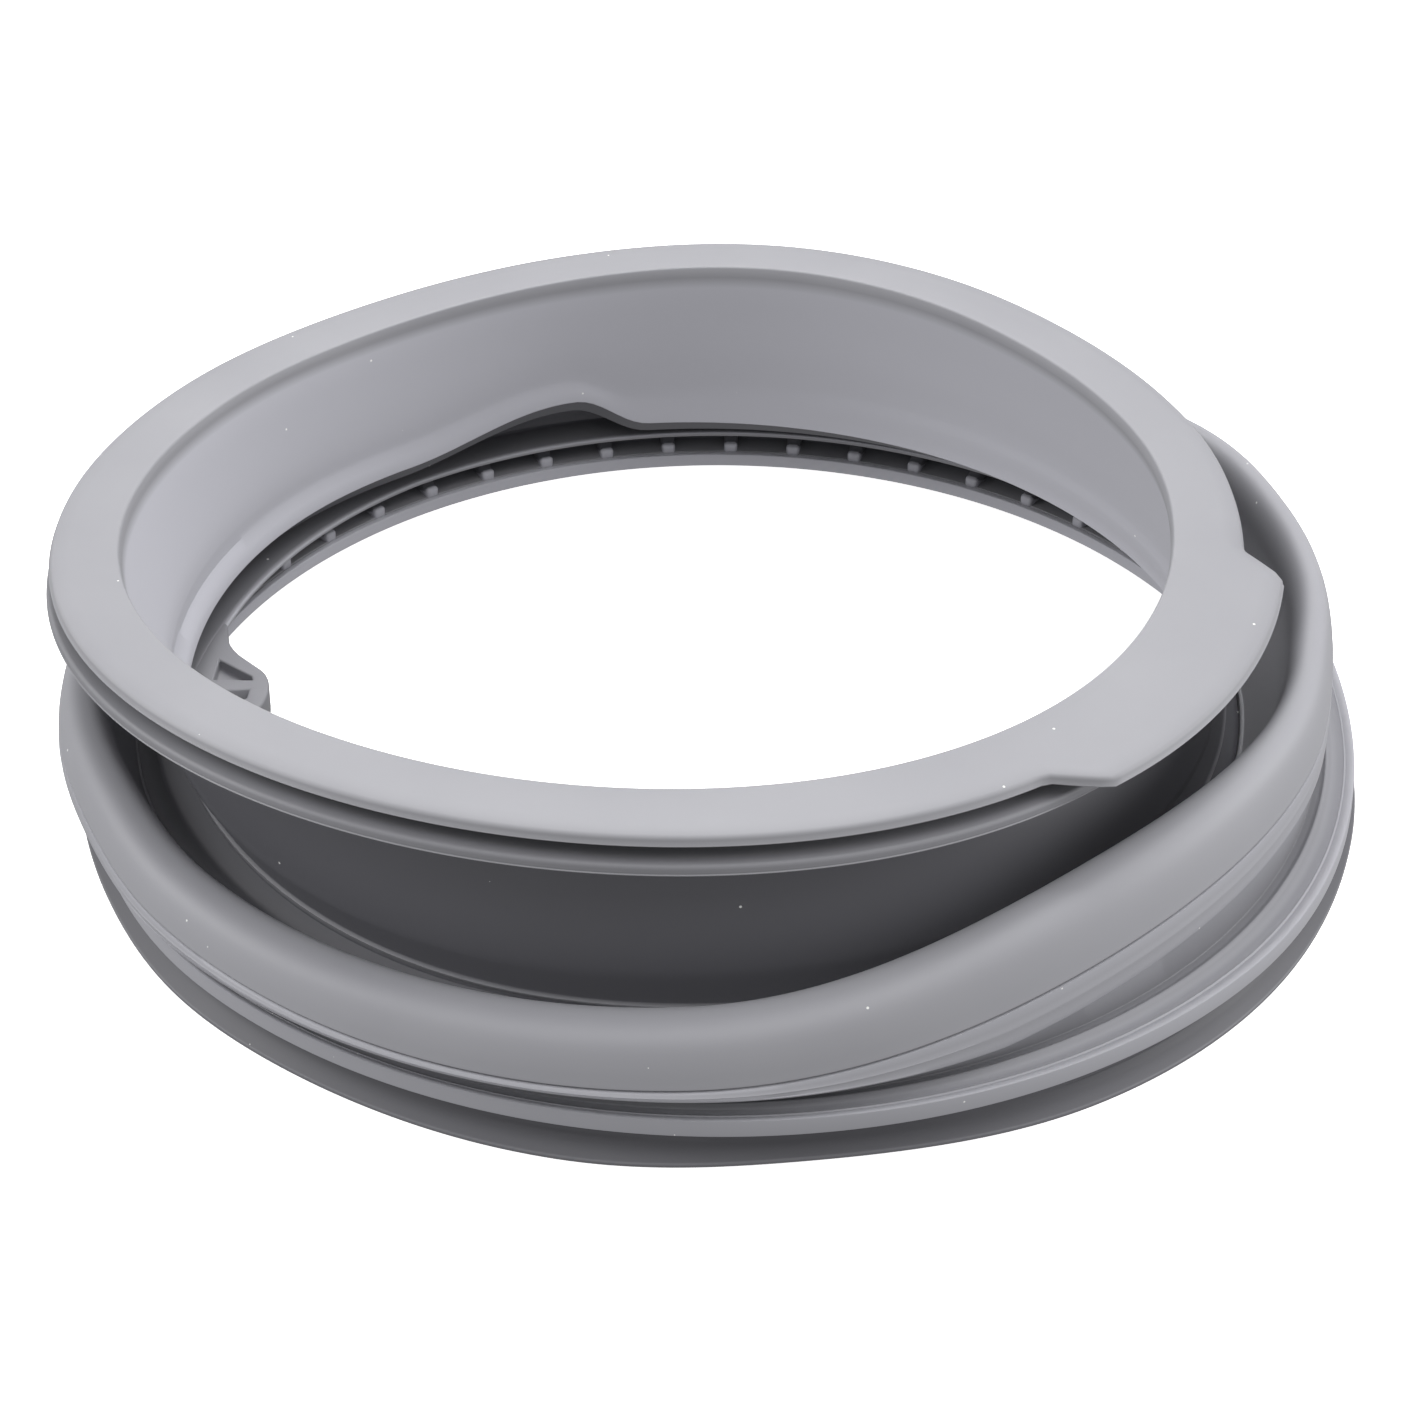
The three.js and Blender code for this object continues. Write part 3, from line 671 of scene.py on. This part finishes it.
def studio_paper():
    """Matt white background paper: it shows nothing but soft shadows."""
    material = bpy.data.materials.new("background_paper_matt")
    material.use_nodes = True
    tree = material.node_tree
    tree.nodes.clear()
    floor = bpy.context.scene.door_seal.studio.floor
    shader = add(tree, "ShaderNodeBsdfPrincipled", {"Base Color": (*floor, 1), "Roughness": 0.9,
                                                    "Emission Color": (*floor, 1), "Emission Strength": 0.85})
    add(tree, "ShaderNodeOutputMaterial", links={"Surface": shader.outputs["BSDF"]})
    return material


class DOORSEAL_OT_ring(Operator):
    """Turn the moulding's section into a ring and let its soft parts settle"""
    bl_idname = "door_seal.ring"
    bl_label = "Moulded ring"

    def execute(self, context):
        settings = context.scene.door_seal
        section = Section()
        draw_door_end(section, settings.door_end)
        draw_bellows_outside(section, settings.door_end, settings.bellows)
        draw_skirt(section, settings.bellows)
        draw_band_top(section, settings.tub_end, settings.bellows)
        draw_tub_end(section, settings.tub_end)
        draw_bellows_inside(section, settings.tub_end, settings.door_end, settings.bellows)
        section.close()
        section.divide(LONGEST_WALL)
        section.spin(RING_STEPS)
        settling = Settling(settings)
        for vert in section.bm.verts:
            settling.move(vert, section.layers)
        xs = [vert.co.x for vert in section.bm.verts]
        ys = [vert.co.y for vert in section.bm.verts]
        settings.sag.middle = ((min(xs) + max(xs)) / 2, (min(ys) + max(ys)) / 2)
        finish_piece(section.bm, "moulded_ring", epdm_rubber())
        return {"FINISHED"}


class DOORSEAL_OT_teeth(Operator):
    """Set the teeth around the channel that takes the rim of the tub"""
    bl_idname = "door_seal.teeth"
    bl_label = "Channel teeth"

    def execute(self, context):
        tub = context.scene.door_seal.tub_end
        sizes = context.scene.door_seal.teeth
        sunk = 0.8 * MM
        foot = tub.bore_radius + tub.channel_depth + sunk
        tip = tub.bore_radius + tub.channel_depth - sizes.reach
        shoulder = tip + 2.2 * MM
        # Up to here from the tip, a tooth carries painted light.
        painted_light_limit = tip + 1.2 * MM
        low = tub.lip - sunk
        top = tub.lip + tub.channel_width + 0.5 * MM
        bm = bmesh.new()
        outline = [(tip, low), (foot, low), (foot, top), (tip + sizes.slope, top),
                   (shoulder, tub.lip + sizes.tip), (tip, tub.lip + sizes.tip)]
        verts = [bm.verts.new((r, -sizes.width / 2, z)) for r, z in outline]
        side = bm.faces.new(verts)
        pushed = bmesh.ops.extrude_face_region(bm, geom=[side])
        moved = [v for v in pushed["geom"] if isinstance(v, bmesh.types.BMVert)]
        bmesh.ops.translate(bm, vec=(0, sizes.width, 0), verts=moved)
        bmesh.ops.recalc_face_normals(bm, faces=bm.faces)
        edges = [e for e in bm.edges if min(v.co.x for v in e.verts) < foot - MM and
                 max(v.co.z for v in e.verts) > low + MM]
        bmesh.ops.bevel(bm, geom=edges, offset=sizes.rounding, segments=3, profile=0.5, affect="EDGES",
                        material=-1, clamp_overlap=True)
        bare = bm.verts.layers.float.new("bare")
        bloom = bm.verts.layers.float.new("bloom")
        # Painted light on the teeth's tips, where light falls, and painted shade on the rest of them.
        for vert in bm.verts:
            if vert.co.x < painted_light_limit:
                vert[bloom] = 1
            else:
                vert[bare] = 1
        one = bm.verts[:] + bm.edges[:] + bm.faces[:]
        for i in range(1, sizes.count):
            copy = bmesh.ops.duplicate(bm, geom=one)
            verts = [v for v in copy["geom"] if isinstance(v, bmesh.types.BMVert)]
            turn = Matrix.Rotation(math.tau * i / sizes.count, 3, "Z")
            bmesh.ops.rotate(bm, cent=(0, 0, 0), matrix=turn, verts=verts)
        first = Matrix.Rotation(sizes.first, 3, "Z")
        bmesh.ops.rotate(bm, cent=(0, 0, 0), matrix=first, verts=bm.verts[:])
        finish_piece(bm, "channel_teeth", epdm_rubber())
        return {"FINISHED"}


class DOORSEAL_OT_lug(Operator):
    """Build the lug inside the tub end, with its two pockets"""
    bl_idname = "door_seal.lug"
    bl_label = "Lug"

    def execute(self, context):
        tub = context.scene.door_seal.tub_end
        sizes = context.scene.door_seal.lug
        top = tub.lip + tub.channel_width + tub.top_lip + 0.1 * MM
        tip = tub.bore_radius - sizes.reach
        root = tub.bore_radius + 3 * MM
        corner = sizes.tip_width / 2 + 4.4 * MM
        flank = corner + 0.95 * (sizes.flank - sizes.corner)
        waist = tub.bore_radius - 9.9 * MM
        near = curved((tip, 0), (tip, sizes.tip_width / 2), (tip + sizes.corner, corner), 6)
        near += curved((tip + sizes.flank, flank), (waist - 0.4 * MM, flank + 7 * MM),
                       (waist, sizes.waist), 8)
        near += [(waist + 3 * MM, sizes.waist + 2 * MM), (root, sizes.waist + 2 * MM)]
        outline = near[::-1] + [(x, -y) for x, y in near[1:]]
        web = sizes.web_offset
        inner = tip + 5.8 * MM
        near_pocket = [(inner + 10.6 * MM, web + 13.5 * MM), (inner, web + 4.4 * MM),
                       (inner - 0.2 * MM, web - 0.2 * MM), (inner + 10.2 * MM, web + 1.2 * MM)]
        far_pocket = [(inner + 11.4 * MM, web - 15 * MM), (inner + 0.4 * MM, web - 6.8 * MM),
                      (inner - 0.2 * MM, web - 5 * MM), (inner + 11.4 * MM, web - 4.4 * MM)]
        near_floor = [(inner + 9.6 * MM, web + 11.2 * MM), (inner + 0.9 * MM, web + 3.9 * MM),
                      (inner + 1.4 * MM, web + 1.4 * MM), (inner + 9.2 * MM, web + 3.4 * MM)]
        bm = bmesh.new()
        rims = []
        for points in (outline, near_pocket, far_pocket):
            verts = [bm.verts.new((x, y, top)) for x, y in points]
            rims.append([bm.edges.new((verts[i - 1], verts[i])) for i in range(len(verts))])
        bmesh.ops.triangle_fill(bm, use_beauty=True, edges=[e for rim in rims for e in rim], normal=(0, 0, 1))
        depths = (top - sizes.bottom + 0.5 * MM, sizes.pocket, 0.6 * sizes.pocket)
        for rim, depth in zip(rims, depths):
            pushed = bmesh.ops.extrude_edge_only(bm, edges=rim)
            verts = [v for v in pushed["geom"] if isinstance(v, bmesh.types.BMVert)]
            ends = [e for e in pushed["geom"] if isinstance(e, bmesh.types.BMEdge)
                    and all(v in verts for v in e.verts)]
            bmesh.ops.translate(bm, vec=(0, 0, -depth), verts=verts)
            bmesh.ops.contextual_create(bm, geom=ends)
            if rim is rims[1]:
                # The near pocket narrows towards its floor.
                for vert in verts:
                    nearest = min(range(4), key=lambda i: (vert.co.xy - Vector(near_pocket[i])).length)
                    vert.co.xy = near_floor[nearest]
        bmesh.ops.recalc_face_normals(bm, faces=bm.faces)
        sharp = [e for e in bm.edges if len(e.link_faces) == 2 and e.calc_face_angle() > math.radians(35)]
        bmesh.ops.bevel(bm, geom=sharp, offset=0.6 * MM, segments=3, profile=0.5, affect="EDGES",
                        material=-1, clamp_overlap=True)
        bmesh.ops.rotate(bm, cent=(0, 0, 0), matrix=Matrix.Rotation(sizes.place, 3, "Z"), verts=bm.verts[:])
        # The whole lug carries painted shade at a share of 0.4.
        finish_piece(bm, "lug", epdm_rubber(), sharp=30, bare=0.4)
        return {"FINISHED"}


class DOORSEAL_OT_studio(Operator):
    """Lay the floor, set the soft lights and place the camera"""
    bl_idname = "door_seal.studio"
    bl_label = "Studio"

    def softbox(self, name, place, power):
        """A square soft light, turned to the middle of the seal."""
        studio = bpy.context.scene.door_seal.studio
        light = bpy.data.lights.new(name, "AREA")
        light.shape = "SQUARE"
        light.size = studio.softbox_size
        light.energy = power
        lamp = bpy.data.objects.new(name, light)
        lamp.location = place
        aim = Vector((0, 0, studio.softbox_aim)) - Vector(place)
        lamp.rotation_euler = aim.to_track_quat("-Z", "Y").to_euler()
        bpy.context.scene.collection.objects.link(lamp)

    def execute(self, context):
        scene = context.scene
        studio = scene.door_seal.studio
        bm = bmesh.new()
        bmesh.ops.create_grid(bm, x_segments=1, y_segments=1, size=studio.floor_reach)
        mesh = bpy.data.meshes.new("floor")
        bm.to_mesh(mesh)
        bm.free()
        mesh.materials.append(studio_paper())
        floor = bpy.data.objects.new("floor", mesh)
        scene.collection.objects.link(floor)
        floor.visible_diffuse = False
        floor.visible_glossy = False
        self.softbox("softbox_back", (0, 0.75, 1.46), 18)
        self.softbox("softbox_front", (0, -0.75, 1.46), 7)
        self.softbox("softbox_left", (-1.39, 0, 0.8), 14)
        self.softbox("softbox_right", (1.56, 0, 0.38), 14)
        self.softbox("softbox_upper_right", (0.75, 0, 1.46), 7)
        world = bpy.data.worlds.new("studio")
        world.use_nodes = True
        background = world.node_tree.nodes["Background"]
        background.inputs["Color"].default_value = (1, 1, 1, 1)
        background.inputs["Strength"].default_value = studio.daylight
        scene.world = world
        scene.view_settings.view_transform = "Standard"
        data = bpy.data.cameras.new("camera")
        data.lens = studio.lens
        data.sensor_width = 36
        data.clip_start = 0.01
        camera = bpy.data.objects.new("camera", data)
        target = Vector(studio.target) + frame_shift()
        away = Vector((0, -math.cos(studio.elevation), math.sin(studio.elevation)))
        camera.location = target + away * studio.distance
        camera.rotation_euler = (-away).to_track_quat("-Z", "Y").to_euler()
        scene.collection.objects.link(camera)
        scene.camera = camera
        return {"FINISHED"}


class DoorSealSettings(PropertyGroup):
    tub_end: PointerProperty(type=TubEndSizes)
    teeth: PointerProperty(type=ToothSizes)
    bellows: PointerProperty(type=BellowsSizes)
    door_end: PointerProperty(type=DoorEndSizes)
    tab: PointerProperty(type=TabSizes)
    relief: PointerProperty(type=ReliefSizes)
    lug: PointerProperty(type=LugSizes)
    sag: PointerProperty(type=SagSettings)
    colours: PointerProperty(type=RubberColours)
    studio: PointerProperty(type=StudioSettings)


class DOORSEAL_PT_panel(Panel):
    bl_idname = "DOORSEAL_PT_panel"
    bl_label = "Door Seal"
    bl_space_type = "VIEW_3D"
    bl_region_type = "UI"
    bl_category = "Door Seal"

    def draw(self, context):
        for operator in OPERATORS:
            self.layout.operator(operator.bl_idname)
        settings = context.scene.door_seal
        for group in settings.bl_rna.properties:
            if group.type == "POINTER" and group.identifier != "rna_type":
                box = self.layout.box()
                box.label(text=group.name or group.identifier)
                values = getattr(settings, group.identifier)
                for item in values.bl_rna.properties:
                    if item.identifier not in {"name", "rna_type"}:
                        box.prop(values, item.identifier)


OPERATORS = (DOORSEAL_OT_ring, DOORSEAL_OT_teeth, DOORSEAL_OT_lug, DOORSEAL_OT_studio)
CLASSES = (TubEndSizes, ToothSizes, BellowsSizes, DoorEndSizes, TabSizes, ReliefSizes, LugSizes, DentSettings,
           SagSettings, RubberColours, StudioSettings, DoorSealSettings, *OPERATORS, DOORSEAL_PT_panel)


def register():
    for cls in CLASSES:
        bpy.utils.register_class(cls)
    bpy.types.Scene.door_seal = PointerProperty(type=DoorSealSettings)


def unregister():
    del bpy.types.Scene.door_seal
    for cls in reversed(CLASSES):
        bpy.utils.unregister_class(cls)


def set_dents(sag):
    """Pushes the band, the bottom edge, the door end and the roll out of true, in degrees and mm."""
    for place, spread, pushes in (
            (0, 42, {"band": -5.0, "base": -1.7}), (-175, 42, {"band": -2.3}),
            (-52, 36, {"band": 0.6, "base": 2.0}), (-160, 22, {"band": -1.6, "base": -1.0}),
            (-81, 22, {"base": -2.0}), (-103, 22, {"base": 0.9}), (-141, 16, {"base": 0.6}),
            (76, 36, {"door": 1.9}), (125, 24, {"door": -0.9}), (35, 22, {"door": -0.9}),
            (6, 18, {"door": 1.1}), (27, 14, {"roll": 1.5}), (-11, 12, {"roll": -0.9}),
            (-156, 15, {"roll": -1.3})):
        dent = sag.dents.add()
        dent.place = math.radians(place)
        dent.spread = math.radians(spread)
        for part, push in pushes.items():
            setattr(dent, part, push * MM)


def main():
    register()
    set_dents(bpy.context.scene.door_seal.sag)
    bpy.ops.door_seal.ring()
    bpy.ops.door_seal.teeth()
    bpy.ops.door_seal.lug()
    bpy.ops.door_seal.studio()


if __name__ == "__main__":
    main()
